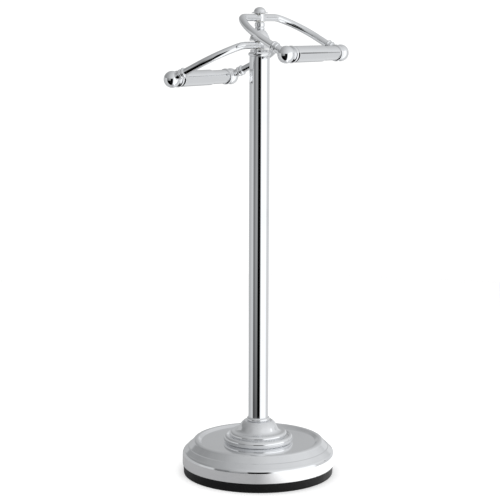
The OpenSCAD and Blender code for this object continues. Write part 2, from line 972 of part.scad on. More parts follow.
// cap at the -Y end of the lower roller
module lower_outer_cap() {
    at_lower_roller()
        outer_cap();
}

// sliding tube of the lower roller
module lower_inner_sleeve() {
    at_lower_roller()
        inner_sleeve();
}

// cap at the +Y end of the lower roller
module lower_inner_cap() {
    at_lower_roller()
        inner_cap();
}

// spring plug of the lower roller
module lower_spring_seat() {
    at_lower_roller()
        spring_seat();
}

// spring of the lower roller
module lower_spring() {
    at_lower_roller()
        spring();
}

foot_ring();
base_weight();
base_cover();
base_washer();
base_nut();
pedestal_flange();
post_foot_ring();
post_tube();
tie_rod();
post_collar();
head_stud();
lower_seat_washer();
lower_cap_washer();
bell_spacer();
neck_spacer();
upper_seat_washer();
upper_cap_washer();
finial();
upper_yoke();
upper_front_collar();
upper_back_collar();
upper_front_ball();
upper_back_ball();
lower_yoke();
lower_front_collar();
lower_back_collar();
lower_front_ball();
lower_back_ball();
upper_outer_sleeve();
upper_outer_cap();
upper_inner_sleeve();
upper_inner_cap();
upper_spring_seat();
upper_spring();
lower_outer_sleeve();
lower_outer_cap();
lower_inner_sleeve();
lower_inner_cap();
lower_spring_seat();
lower_spring();
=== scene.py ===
import math

import bpy
import numpy as np
from mathutils import Matrix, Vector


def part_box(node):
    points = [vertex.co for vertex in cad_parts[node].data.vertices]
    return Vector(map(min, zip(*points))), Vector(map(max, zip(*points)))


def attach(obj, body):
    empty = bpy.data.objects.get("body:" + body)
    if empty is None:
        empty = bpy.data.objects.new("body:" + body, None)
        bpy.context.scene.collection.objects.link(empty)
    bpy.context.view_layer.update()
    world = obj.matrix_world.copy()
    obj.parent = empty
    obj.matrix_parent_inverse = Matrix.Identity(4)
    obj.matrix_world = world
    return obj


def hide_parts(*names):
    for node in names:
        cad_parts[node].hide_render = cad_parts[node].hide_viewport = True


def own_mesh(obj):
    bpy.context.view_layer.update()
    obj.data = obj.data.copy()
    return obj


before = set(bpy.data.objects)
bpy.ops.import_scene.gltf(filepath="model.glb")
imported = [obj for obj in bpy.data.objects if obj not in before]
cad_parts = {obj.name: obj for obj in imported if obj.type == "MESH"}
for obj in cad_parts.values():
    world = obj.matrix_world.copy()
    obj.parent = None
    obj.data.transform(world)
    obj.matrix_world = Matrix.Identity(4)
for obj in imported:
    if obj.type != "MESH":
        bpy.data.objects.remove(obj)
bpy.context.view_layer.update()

mm = 0.001  # sizes below are in millimetres
upAxis = np.array([0.0, 0.0, 1.0])
rollerAxis = np.array([0.0, 1.0, 0.0])


# One socket of a node tree. Sums, products and powers of wires and numbers add Math nodes.
class Wire:
    def __init__(self, tree, socket=None):
        self.tree = tree
        self.socket = socket

    # adds a node: its type, its settings, the values or wires of its sockets, and the output to carry on with
    def node(self, kind, settings=None, sockets=None, output=0):
        made = self.tree.nodes.new(kind)
        for name, value in (settings or {}).items():
            setattr(made, name, value)
        for name, value in (sockets or {}).items():
            if isinstance(value, Wire):
                self.tree.links.new(value.socket, made.inputs[name])
            else:
                made.inputs[name].default_value = value
        return Wire(self.tree, made.outputs[output]) if len(made.outputs) else made

    def maths(self, operation, *terms):
        return self.node("ShaderNodeMath", {"operation": operation}, dict(enumerate(terms)))

    def __add__(self, other):
        return self.maths("ADD", self, other)

    def __radd__(self, other):
        return self.maths("ADD", other, self)

    def __sub__(self, other):
        return self.maths("SUBTRACT", self, other)

    def __rsub__(self, other):
        return self.maths("SUBTRACT", other, self)

    def __mul__(self, other):
        return self.maths("MULTIPLY", self, other)

    def __rmul__(self, other):
        return self.maths("MULTIPLY", other, self)

    def __pow__(self, other):
        return self.maths("POWER", self, other)

    # 0 below low, 1 above high, smooth between
    def step(self, low, high):
        return self.node("ShaderNodeMapRange", {"interpolation_type": "SMOOTHSTEP"},
                         {"Value": self, "From Min": low, "From Max": high})

    # mixes two colours by this wire
    def tint(self, dark, pale):
        return self.node("ShaderNodeMix", {"data_type": "RGBA"}, {0: self, 6: dark, 7: pale}, 2)


def newMaterial(name):
    material = bpy.data.materials.new(name)
    material.use_nodes = True
    material.node_tree.nodes.clear()
    return material, Wire(material.node_tree)


def noise(wire, place, scale, detail=3.0, roughness=0.5):
    return wire.node("ShaderNodeTexNoise", None,
                     {"Vector": place, "Scale": scale, "Detail": detail, "Roughness": roughness})


# object coordinates, stretched by three factors
def stretched(wire, factors=(1.0, 1.0, 1.0)):
    place = wire.node("ShaderNodeTexCoord", None, None, "Object")
    return wire.node("ShaderNodeMapping", None, {"Vector": place, "Scale": factors})


def finish(wire, surface):
    wire.node("ShaderNodeOutputMaterial", None, {"Surface": surface})


plating = {
    "clear": (0.90, 0.905, 0.915, 1.0),   # colour of clean plating
    "wiped": (0.84, 0.85, 0.865, 1.0),    # colour where a cloth has left a faint film
    "roughness": 0.035,                   # roughness of clean plating
    "filmRoughness": 0.05,                # added where the film is
    "filmScale": 26.0,                    # size of the film's patches, per metre
    "lineScale": 1400.0,                  # fineness of the polishing lines
    "lineStrength": 0.25,
    "lineDepth": 0.000007,                # depth of the polishing lines, metres
}


# Polished plating: a faint patchy film lifts the roughness, and fine polishing lines run round the given axis.
def polishedPlating(name, lineFactors, look=plating):
    material, wire = newMaterial(name)
    place = stretched(wire)
    film = noise(wire, place, look["filmScale"], 4.0, 0.6).step(0.46, 0.72)
    smears = noise(wire, stretched(wire, (1.0, 1.0, 0.35)), look["filmScale"] * 7.0, 5.0, 0.65).step(0.5, 0.8)
    film = film * (0.35 + smears * 0.65)
    lines = noise(wire, stretched(wire, lineFactors), look["lineScale"], 2.0, 0.5)
    roughness = look["roughness"] + film * look["filmRoughness"]
    bump = wire.node("ShaderNodeBump", None,
                     {"Strength": look["lineStrength"], "Distance": look["lineDepth"], "Height": lines})
    surface = wire.node("ShaderNodeBsdfPrincipled", None, {
        "Base Color": film.tint(look["clear"], look["wiped"]), "Metallic": 1.0,
        "Roughness": roughness, "Normal": bump})
    finish(wire, surface)
    return material


rubber = {
    "dark": (0.004, 0.004, 0.0045, 1.0),   # fresh black rubber
    "dusty": (0.008, 0.008, 0.0078, 1.0),  # bloom and dust on it
    "roughness": 0.42,
    "bloomRoughness": 0.16,                # added where there is bloom
    "specular": 0.22,
    "dustHeight": 0.006,                   # the lowest part of the ring that gathers dust, metres
    "grainScale": 2600.0,                  # moulding grain, per metre
    "grainDepth": 0.00006,
    "grainStrength": 0.35,
}


# Moulded rubber: even fine grain, a faint bloom, and more dust towards the floor.
def mouldedRubber(name, look=rubber):
    material, wire = newMaterial(name)
    place = stretched(wire)
    height = wire.node("ShaderNodeSeparateXYZ", None, {"Vector": place}, "Z")
    bloom = noise(wire, place, 34.0, 5.0, 0.62).step(0.42, 0.8)
    dust = (1.0 - height.step(0.0, look["dustHeight"])) * 0.6 + bloom * 0.5
    grain = noise(wire, place, look["grainScale"], 2.0, 0.5)
    bump = wire.node("ShaderNodeBump", None,
                     {"Strength": look["grainStrength"], "Distance": look["grainDepth"], "Height": grain})
    surface = wire.node("ShaderNodeBsdfPrincipled", None, {
        "Base Color": dust.tint(look["dark"], look["dusty"]),
        "Roughness": look["roughness"] + bloom * look["bloomRoughness"],
        "Specular IOR Level": look["specular"], "Normal": bump})
    finish(wire, surface)
    return material


iron = {
    "skin": (0.055, 0.055, 0.058, 1.0),   # painted casting skin
    "worn": (0.16, 0.155, 0.15, 1.0),     # where the paint is thin on the grain
    "roughness": 0.62,
    "smoother": 0.15,                     # taken off the roughness where it is worn
    "bareMetal": 0.6,                     # how metallic the worn tops are
    "patchScale": 40.0,
    "grainScale": 420.0,
    "grainDepth": 0.0003,
    "grainStrength": 0.7,
}


# Painted sand casting: coarse grain, paint thinner on its tops.
def paintedCasting(name, look=iron):
    material, wire = newMaterial(name)
    place = stretched(wire)
    grain = noise(wire, place, look["grainScale"], 6.0, 0.6)
    patches = noise(wire, place, look["patchScale"], 3.0, 0.5)
    tops = grain.step(0.52, 0.72) * (0.4 + patches * 0.6)
    bump = wire.node("ShaderNodeBump", None,
                     {"Strength": look["grainStrength"], "Distance": look["grainDepth"], "Height": grain})
    surface = wire.node("ShaderNodeBsdfPrincipled", None, {
        "Base Color": tops.tint(look["skin"], look["worn"]),
        "Roughness": look["roughness"] - tops * look["smoother"],
        "Metallic": tops * look["bareMetal"], "Normal": bump})
    finish(wire, surface)
    return material


zinc = {
    "bright": (0.62, 0.63, 0.64, 1.0),
    "dull": (0.42, 0.43, 0.45, 1.0),
    "roughness": 0.42,
    "smoother": 0.14,       # taken off the roughness on the bright flakes
    "flakeScale": 500.0,
    "lineScale": 1500.0,
    "lineDepth": 0.00004,
    "lineStrength": 0.5,
}


# Zinc-plated steel: small pale and dull flakes over drawing lines.
def platedSteel(name, lineFactors, look=zinc):
    material, wire = newMaterial(name)
    flakes = noise(wire, stretched(wire), look["flakeScale"], 4.0, 0.55).step(0.38, 0.66)
    lines = noise(wire, stretched(wire, lineFactors), look["lineScale"], 2.0, 0.5)
    bump = wire.node("ShaderNodeBump", None,
                     {"Strength": look["lineStrength"], "Distance": look["lineDepth"], "Height": lines})
    surface = wire.node("ShaderNodeBsdfPrincipled", None, {
        "Base Color": flakes.tint(look["dull"], look["bright"]), "Metallic": 1.0,
        "Roughness": look["roughness"] - flakes * look["smoother"], "Normal": bump})
    finish(wire, surface)
    return material


wireSteel = {
    "clean": (0.50, 0.50, 0.50, 1.0),
    "oiled": (0.20, 0.19, 0.17, 1.0),
    "roughness": 0.38,
    "smoother": 0.16,       # taken off the roughness where it is oiled
    "filmScale": 260.0,
}


# Spring wire: drawn steel with a patchy film of oil.
def drawnWire(name, look=wireSteel):
    material, wire = newMaterial(name)
    oil = noise(wire, stretched(wire), look["filmScale"], 4.0, 0.6).step(0.4, 0.7)
    surface = wire.node("ShaderNodeBsdfPrincipled", None, {
        "Base Color": oil.tint(look["clean"], look["oiled"]), "Metallic": 1.0,
        "Roughness": look["roughness"] - oil * look["smoother"]})
    finish(wire, surface)
    return material


nylon = {
    "pale": (0.78, 0.78, 0.75, 1.0),
    "aged": (0.70, 0.69, 0.63, 1.0),
    "roughness": 0.42,
    "rougher": 0.12,        # added where it has aged
    "patchScale": 300.0,
    "grainScale": 2200.0,
    "grainDepth": 0.00003,
    "grainStrength": 0.3,
}


# Nylon washer: slightly uneven natural colour with a moulded grain.
def naturalNylon(name, look=nylon):
    material, wire = newMaterial(name)
    place = stretched(wire)
    age = noise(wire, place, look["patchScale"], 3.0, 0.5).step(0.4, 0.7)
    grain = noise(wire, place, look["grainScale"])
    bump = wire.node("ShaderNodeBump", None,
                     {"Strength": look["grainStrength"], "Distance": look["grainDepth"], "Height": grain})
    surface = wire.node("ShaderNodeBsdfPrincipled", None, {
        "Base Color": age.tint(look["pale"], look["aged"]),
        "Roughness": look["roughness"] + age * look["rougher"], "Normal": bump})
    finish(wire, surface)
    return material


roundUp = (0.02, 0.02, 1.0)      # lines that run round a vertical axis
roundRoller = (0.02, 1.0, 0.02)  # lines that run round a roller's axis
everyWay = (0.3, 0.3, 0.3)       # lines with no direction, for hand-polished bends
finishes = {
    "baseChrome": polishedPlating("base_plating", roundUp),
    "postChrome": polishedPlating("post_plating", roundUp),
    "headChrome": polishedPlating("head_plating", roundUp),
    "yokeChrome": polishedPlating("yoke_plating", everyWay),
    "rollerChrome": polishedPlating("roller_plating", roundRoller),
    "rubber": mouldedRubber("foot_rubber"),
    "iron": paintedCasting("cast_weight"),
    "zinc": platedSteel("zinc_steel", roundUp),
    "wire": drawnWire("spring_wire"),
    "nylon": naturalNylon("washer_nylon"),
}
print("finishes:", len(finishes))


def unit(vector):
    vector = np.asarray(vector, float)
    return vector / np.linalg.norm(vector)


def joined(*runs):
    return np.concatenate([np.atleast_2d(np.asarray(run, float)) for run in runs])


# Arc of an ellipse: the centre plus (width cos a, height sin a), with a going evenly from start to stop in degrees.
def ovalArc(centre, width, height, start, stop, count=15):
    angle = np.radians(np.linspace(start, stop, count))
    return np.stack([centre[0] + width * np.cos(angle), centre[1] + height * np.sin(angle)], 1)


# Rounds a profile's sharp corners. Each becomes a parabola, (1-t)^2 A + 2t(1-t) corner + t^2 B, where A and B lie a
# short reach along its two sides. Long straight sides then get a point just inside each end, which keeps them flat.
def softened(points, reach, closed, sharpAngle=22.0, steps=7):
    before, after = np.roll(points, 1, 0), np.roll(points, -1, 0)
    if not closed:
        before[0], after[-1] = points[0], points[-1]
    back, ahead = before - points, after - points
    backLength = np.maximum(np.linalg.norm(back, axis=1), 1e-9)
    aheadLength = np.maximum(np.linalg.norm(ahead, axis=1), 1e-9)
    cosine = -(back * ahead).sum(1) / (backLength * aheadLength)
    sharp = (cosine < math.cos(math.radians(sharpAngle))) & (backLength > 1e-6) & (aheadLength > 1e-6)
    mostOfSide = 0.42
    start = points + back * np.minimum(reach / backLength, mostOfSide)[:, None]
    end = points + ahead * np.minimum(reach / aheadLength, mostOfSide)[:, None]
    t = np.linspace(0, 1, steps)[None, :, None]
    curve = (1 - t) ** 2 * start[:, None] + 2 * t * (1 - t) * points[:, None] + t ** 2 * end[:, None]
    curve[~sharp] = points[~sharp][:, None]
    points = curve[sharp[:, None] | (np.arange(steps) == steps // 2)[None, :]]

    hold = reach * 0.5
    after = np.roll(points, -1, 0)
    if not closed:
        after[-1] = points[-1]
    run = after - points
    length = np.maximum(np.linalg.norm(run, axis=1), 1e-9)
    inside = run * (hold / length)[:, None]
    triples = np.stack([points, points + inside, after - inside], 1)
    isLong = length > 5 * hold
    return triples[np.stack([np.ones_like(isLong), isLong, isLong], 1)]


# Carries circles along a path: point (i, j) = centre i + radius i * (cos angle j * side i + sin angle j * across i).
# A closed run joins its last ring to its first; an open one starts and ends with rings of no radius, its poles.
def skinned(centres, radii, side, across, closed, around):
    angle = 2 * math.pi * np.arange(around) / around
    ring = np.cos(angle)[None, :, None] * np.reshape(side, (-1, 1, 3)) \
        + np.sin(angle)[None, :, None] * np.reshape(across, (-1, 1, 3))
    points = centres[:, None, :] + radii[:, None, None] * ring
    rows = len(centres)
    index = np.arange(rows * around).reshape(rows, around)
    if not closed:
        index[0], index[-1] = index[0, 0], index[-1, 0]
    lower = index if closed else index[:-1]
    upper = np.roll(index, -1, 0) if closed else index[1:]
    quads = np.stack([lower, np.roll(lower, -1, 1), np.roll(upper, -1, 1), upper], -1)
    if closed:
        triangles = np.zeros((0, 3), int)
    else:
        triangles = np.concatenate([quads[0][:, [0, 2, 3]], quads[-1][:, [0, 1, 2]]])
        quads = quads[1:-1]
    quads = quads.reshape(-1, 4)
    points = points.reshape(-1, 3)
    solid = np.concatenate([triangles, quads[:, :3], quads[:, [0, 2, 3]]])
    corners = points[solid] - points.mean(0)
    if (corners[:, 0] * np.cross(corners[:, 1], corners[:, 2])).sum() < 0:
        quads, triangles = quads[:, ::-1], triangles[:, ::-1]
    used, packed = np.unique(np.concatenate([quads.ravel(), triangles.ravel()]), return_inverse=True)
    return points[used], packed[:quads.size].reshape(-1, 4), packed[quads.size:].reshape(-1, 3)


# A turned solid: its profile (radius, height) carried round an axis through centre.
def turned(profile, centre, axis=upAxis, closed=True, around=96, reach=0.25):
    profile = softened(np.asarray(profile, float), reach, closed)
    axis = unit(axis)
    side = unit(np.cross(axis, [1.0, 0.0, 0.0] if abs(axis[0]) < 0.9 else [0.0, 0.0, 1.0]))
    centres = np.asarray(centre, float) + profile[:, 1:] * axis
    return skinned(centres, profile[:, 0], side, np.cross(axis, side), closed, around)


# Makes one mesh object of several shells, each (points, quads, triangles) in millimetres, and puts it on its body.
def piece(name, shells, finish, body, nodes):
    points, faces, first = [], [], 0
    for shellPoints, quads, triangles in shells:
        points.append(shellPoints)
        faces += (quads + first).tolist() + (triangles + first).tolist()
        first += len(shellPoints)
    mesh = bpy.data.meshes.new(name)
    mesh.from_pydata((np.concatenate(points) * mm).tolist(), [], faces)
    mesh.polygons.foreach_set("use_smooth", np.ones(len(faces), bool))
    mesh.materials.append(finishes[finish])
    mesh.update()
    made = bpy.data.objects.new(name, mesh)
    bpy.context.scene.collection.objects.link(made)
    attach(made, body)
    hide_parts(*nodes)
    return made


# lowest and highest corner of a CAD node, in millimetres
def nodeBox(node):
    low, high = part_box(node)
    return np.array(low) / mm, np.array(high) / mm


# the base: foot ring, spun cover and flange
footRing = {
    "radius": 97.3,         # where it meets the cover
    "floorRadius": 96.3,    # where it touches the floor
    "lipRadius": 87.5,      # inner edge of the lip under the weight
    "wallInside": 93.0,     # inner face of the upstand
    "upstand": 96.57,       # outer face of the upstand, inside the cover
    "height": 12.0,         # height that shows
    "top": 19.0,
    "lip": 2.6,
    "floorRound": 1.2,      # rounding of its lower edge
    "seam": 0.02,           # gap between its shoulder and the cover
}
f = footRing
ringProfile = joined(
    [f["lipRadius"], 0],
    ovalArc((f["floorRadius"] - f["floorRound"], f["floorRound"]), f["floorRound"], f["floorRound"], -90, -8),
    [f["radius"] - 0.35, f["height"] - 1.6], [f["radius"], f["height"] - 0.9], [f["radius"] - 0.3, f["height"]],
    [f["upstand"], f["height"] + f["seam"]], [f["upstand"], f["top"]], [f["wallInside"], f["top"]],
    [f["wallInside"], f["lip"]], [f["lipRadius"], f["lip"]])
piece("foot_ring_rubber", [turned(ringProfile, (0, 0, 0), around=224)], "rubber", "stand",
      ["foot_ring"])

cover = {
    "radius": 97.8,
    "bottom": 12.0,
    "wallTop": 25.0,        # where the shoulder starts
    "plate": 40.8,          # height of the mirror plate
    "rimRise": 3.2,         # rolled rim above the plate
    "rimRadius": 79.5,
    "shoulder": (5.0, 6.4), # half width and half height of the oval between wall and shoulder
    "shoulderStop": 62,     # angle at which that oval ends
    "groove": ((90.6, 10.2), (89.6, 10.4)),  # radius and height over the wall of the groove's two edges
    "rimOuter": 4.6,        # half width of the outer side of the rim
    "rimInner": (3.4, 2.2), # half width and half height of its inner side
    "plateEdge": 6.0,       # from the middle of the rim to the plate
    "sheet": 1.2,
    "hole": 4.2,
}


# outline of the cover, from its lower edge over the shoulder, groove and rolled rim to the hole in its plate
def coverOutline(inset, look=cover):
    radius, plate, rim = look["radius"], look["plate"], look["rimRadius"]
    shoulderWidth, shoulderHeight = look["shoulder"]
    innerWidth, innerHeight = look["rimInner"]
    return joined(
        [radius - inset, look["bottom"]],
        ovalArc((radius - shoulderWidth, look["wallTop"]), shoulderWidth - inset, shoulderHeight - inset,
                0, look["shoulderStop"], 22),
        *[[edge - inset, look["wallTop"] + rise - inset] for edge, rise in look["groove"]],
        ovalArc((rim, plate), look["rimOuter"], look["rimRise"] - inset, 20, 90, 22),
        ovalArc((rim, plate + look["rimRise"] - inset - innerHeight), innerWidth, innerHeight, 90, 150, 16)[1:],
        [rim - look["plateEdge"], plate - inset], [look["hole"], plate - inset])


coverProfile = joined(coverOutline(0), coverOutline(cover["sheet"])[::-1])
piece("base_cover_spun", [turned(coverProfile, (0, 0, 0), around=256, reach=0.4)], "baseChrome", "stand",
      ["base_cover"])

flange = {
    "radius": 44.8,         # of the lower bead
    "secondRadius": 37.0,   # of the upper bead
    "stepHeight": 5.6,
    "foot": 2.6,            # the lower bead curls in by this where it meets the plate
    "lowerBead": (3.3, 4.6),  # half width and half height
    "lowerAngles": (-68, 155),
    "crevice": 0.7,         # the crevice between the beads lies inside the upper bead by this
    "upperBead": (3.2, 3.6),
    "upperAngles": (-45, 90),
    "upperBeadMiddle": 4.9,   # height of its middle over the first step
    "bellFoot": 30.4,
    "coveFoot": 2.4,        # height of the bell's foot over the second step
    "coveWidth": 4.9,
    "coveHead": 10.1,       # depth of the top of the hollow under the top of the flange
    "domeMiddle": (7.7, 14.5),  # radius and depth under the top of the flange
    "domeHeight": 18.0,
    "domeAngles": (25.0, 55.0),
    "domeLedge": 1.5,       # from the top of the hollow in to the start of the dome
    "coveAngle": 85.0,
    "neck": 13.4,           # where the dome meets the post
    "hole": 4.2,
}
f = flange
flangeLow, flangeHigh = nodeBox("pedestal_flange")
plateLevel, flangeTop = flangeLow[2], flangeHigh[2]
secondLevel = plateLevel + f["stepHeight"]
bellLevel = secondLevel + f["stepHeight"]
domeFrom, domeTo = f["domeAngles"]
steep, flat = math.radians(domeFrom), math.radians(f["coveAngle"])
coveFoot = np.array([f["bellFoot"], bellLevel + f["coveFoot"]])
coveHead = np.array([f["bellFoot"] - f["coveWidth"], flangeTop - f["coveHead"]])
coveReach = np.array([(coveFoot - coveHead)[0] / (math.cos(steep) - math.cos(flat)),
                      (coveHead - coveFoot)[1] / (math.sin(flat) - math.sin(steep))])
coveMiddle = coveFoot + coveReach * np.array([math.cos(flat), math.sin(flat)])
domeMiddle = (f["domeMiddle"][0], flangeTop - f["domeMiddle"][1])
domeReach = (coveHead[0] - f["domeLedge"] - domeMiddle[0]) / math.cos(steep)
flangeProfile = joined(
    [f["hole"], plateLevel], [f["radius"] - f["foot"], plateLevel],
    ovalArc((f["radius"] - f["lowerBead"][0], plateLevel + f["lowerBead"][1]),
            *f["lowerBead"], *f["lowerAngles"], 46),
    [f["secondRadius"] - f["crevice"], secondLevel + f["crevice"]],
    ovalArc((f["secondRadius"] - f["upperBead"][0], secondLevel + f["upperBeadMiddle"]),
            *f["upperBead"], *f["upperAngles"], 30),
    ovalArc(coveMiddle, *coveReach, 180 + f["coveAngle"], 180 + domeFrom, 16),
    ovalArc(domeMiddle, domeReach, f["domeHeight"], domeFrom, domeTo, 24),
    [f["neck"], flangeTop], [f["hole"], flangeTop])
piece("pedestal_flange_turned", [turned(flangeProfile, (0, 0, 0), around=192, reach=0.35)], "baseChrome", "stand",
      ["pedestal_flange"])
print("base: foot ring, cover and flange")


# the post and the turned rings at its ends
post = {
    "radius": 12.7,
    "bore": 11.5,
    "bead": 14.2,
    "footBead": 14.9,
    "plug": 11.47,
    "hole": 4.2,
    "beadGroove": 0.8,      # plain groove over the foot bead
    "grooveDepth": 0.2,
    "collarNeck": 11.8,
    "collarBead": 5.2,
    "collarInset": 0.3,     # the bead's foot lies inside the tube's face by this
    "collarEdge": 0.8,      # bevel at the top of the collar's neck
    "stud": 3.03,
}
f = post
footLow, footHigh = nodeBox("post_foot_ring")
tubeLow, tubeHigh = nodeBox("post_tube")
beadHalf = (tubeLow[2] - footLow[2] - f["beadGroove"]) / 2
footProfile = joined(
    [f["hole"], footLow[2]], [f["radius"], footLow[2]],
    ovalArc((f["radius"], footLow[2] + beadHalf), f["footBead"] - f["radius"], beadHalf, -90, 90, 22),
    [f["radius"] - f["grooveDepth"], footLow[2] + 2 * beadHalf], [f["radius"] - f["grooveDepth"], tubeLow[2]],
    [f["plug"], tubeLow[2]], [f["plug"], footHigh[2]], [f["hole"], footHigh[2]])
piece("post_foot_bead", [turned(footProfile, (0, 0, 0), around=128, reach=0.15)], "postChrome", "stand",
      ["post_foot_ring"])

tubeProfile = [[f["radius"], tubeLow[2]], [f["radius"], tubeHigh[2]], [f["bore"], tubeHigh[2]],
               [f["bore"], tubeLow[2]]]
piece("post_tube_drawn", [turned(tubeProfile, (0, 0, 0), around=160, reach=0.2)], "postChrome", "stand",
      ["post_tube"])

collarLow, collarHigh = nodeBox("post_collar")
top, inset, edge = tubeHigh[2], f["collarInset"], f["collarEdge"]
collarProfile = joined(
    [f["stud"], collarLow[2]], [f["plug"], collarLow[2]], [f["plug"], top], [f["radius"] - inset, top],
    [f["radius"] - inset, top + 2 * inset],
    ovalArc((f["radius"] - inset, top + f["collarBead"] / 2 + inset), f["bead"] - f["radius"] + inset,
            f["collarBead"] / 2 - inset, -90, 90, 22),
    [f["collarNeck"], top + f["collarBead"] + 0.4], [f["collarNeck"], collarHigh[2] - edge],
    [f["collarNeck"] - edge, collarHigh[2]], [f["stud"], collarHigh[2]])
piece("post_collar_turned", [turned(collarProfile, (0, 0, 0), around=128, reach=0.2)], "postChrome", "stand",
      ["post_collar"])
print("post: foot bead, tube and collar")


# the stack on top: washers, bell, neck and finial
head = {
    "washer": 7.1,
    "bore": 3.1,
    "bellFoot": 12.8,
    "bellFootHeight": 2.4,
    "bellHead": 6.9,
    "bellAngles": (20, 55), # where the oval of the dome starts and stops
    "bellRound": 0.6,       # half width of the rounded foot of the bell
    "bellStep": 0.2,        # the dome starts inside the foot by this
    "neck": 5.2,
    "bead": 1.0,            # how far the bead under the barrel stands out of the neck
    "barrel": 1.1,          # how far the barrel stands out of the neck
    "barrelEdge": 0.8,
    "neckShares": (0.36, 0.42, 0.48),  # height of the bead, start and height of the barrel, over the neck's height
    "finial": 10.2,
    "brim": (0.6, 0.5),     # half width and half height of the rounded brim
    "flare": (2.4, 1.5),    # half width and half height of the hollow over the brim
    "flareMiddle": 2.6,     # height of the middle of that hollow
    "finialDome": 1.7,      # height at which its dome starts
    "domeInset": 2.8,       # the dome is narrower than the brim by this
    "finialBore": 4.6,      # depth of the stud in the finial
}
f = head
for washer in ("lower_seat", "lower_cap", "upper_seat", "upper_cap"):
    low, high = nodeBox(washer + "_washer")
    profile = [[f["bore"], low[2]], [f["washer"], low[2]], [f["washer"], high[2]], [f["bore"], high[2]]]
    piece(washer + "_washer_ring", [turned(profile, (0, 0, 0), around=72, reach=0.15)], "nylon", "stand",
          [washer + "_washer"])

low, high = nodeBox("bell_spacer")
# the dome is the part of an oval between two angles: its width and height are each a run over a difference of
# cosines or sines
domeStart = low[2] + f["bellFootHeight"]
startAngle, stopAngle = (math.radians(angle) for angle in f["bellAngles"])
domeEdge = f["bellFoot"] - f["bellStep"]
footEdge, footHalf = f["bellFoot"] - f["bellRound"], f["bellFootHeight"] / 2
domeWidth = (domeEdge - f["bellHead"]) / (math.cos(startAngle) - math.cos(stopAngle))
domeHeight = (high[2] - domeStart) / (math.sin(stopAngle) - math.sin(startAngle))
bellProfile = joined(
    [f["bore"], low[2]], [footEdge, low[2]],
    ovalArc((footEdge, low[2] + footHalf), f["bellRound"], footHalf, -90, 0, 12),
    ovalArc((domeEdge - domeWidth * math.cos(startAngle), domeStart - domeHeight * math.sin(startAngle)),
            domeWidth, domeHeight, *f["bellAngles"], 26),
    [f["bore"], high[2]])
piece("bell_spacer_turned", [turned(bellProfile, (0, 0, 0), around=112, reach=0.2)], "headChrome", "stand",
      ["bell_spacer"])

low, high = nodeBox("neck_spacer")
neckHeight = high[2] - low[2]
beadHeight, barrelRise, barrelHeight = (neckHeight * share for share in f["neckShares"])
barrelStart, edge = low[2] + barrelRise, f["barrelEdge"]
barrelStop = barrelStart + barrelHeight
neckProfile = joined(
    [f["bore"], low[2]], [f["neck"], low[2]],
    ovalArc((f["neck"], low[2] + beadHeight / 2 + 0.1), f["bead"], beadHeight / 2, -90, 90, 17),
    ovalArc((f["neck"], barrelStart + edge), f["barrel"], edge, -90, 0, 9),
    ovalArc((f["neck"], barrelStop - edge), f["barrel"], edge, 0, 90, 9),
    [f["neck"], high[2]], [f["bore"], high[2]])
piece("neck_spacer_turned", [turned(neckProfile, (0, 0, 0), around=80, reach=0.12)], "headChrome", "stand",
      ["neck_spacer"])

low, high = nodeBox("finial")
brim = f["finial"] - f["brim"][0]
finialProfile = joined(
    [0, low[2] + f["finialBore"]], [f["bore"], low[2] + f["finialBore"]], [f["bore"], low[2]],
    [brim, low[2]], ovalArc((brim, low[2] + f["brim"][1]), *f["brim"], -90, 70, 12),
    ovalArc((f["finial"] - 0.5, low[2] + f["flareMiddle"]), *f["flare"], 265, 190, 14),
    ovalArc((0, low[2] + f["finialDome"]), f["finial"] - f["domeInset"], high[2] - low[2] - f["finialDome"],
            8, 82, 24),
    [0, high[2]])
piece("finial_dome", [turned(finialProfile, (0, 0, 0), closed=False, around=96, reach=0.2)], "headChrome",
      "stand", ["finial"])
print("head: washers, bell, neck and finial")


# the two bent yokes with their collars and balls
yoke = {
    "rod": 4.5,
    "hub": 6.2,
    "hubHeight": 9.2,
    "hubBore": 3.05,
    "halfSpan": 68.0,       # from the hub to each ball centre, along the roller
    "firstTilt": 30.0,      # degrees below the horizontal
    "firstAngle": 41.0,
    "firstRadius": 20.0,
    "secondRadius": 60.0,
    "legSlope": {"upper": 29.0, "lower": 25.0},
    "legRun": {"upper": 39.0, "lower": 45.5},   # from the end of the bend to the ball centre
    "rodEnd": 14.2,         # the rod keeps its full radius to this distance before the ball centre
    "spigot": 3.0,
    "spigotEnd": 5.0,
    "webReach": 1.1,        # how fast the rod widens into the hub
    "web": 0.5,
}
leg = {
    "collar": 6.6,
    "waist": 5.4,
    "collarLength": 8.0,
    "collarStart": 14.0,
    "ball": 10.5,
    "face": 8.2,            # flat face of the ball, from its centre
    "socket": 3.05,
    "socketDepth": 7.7,
    "neck": 5.2,
}


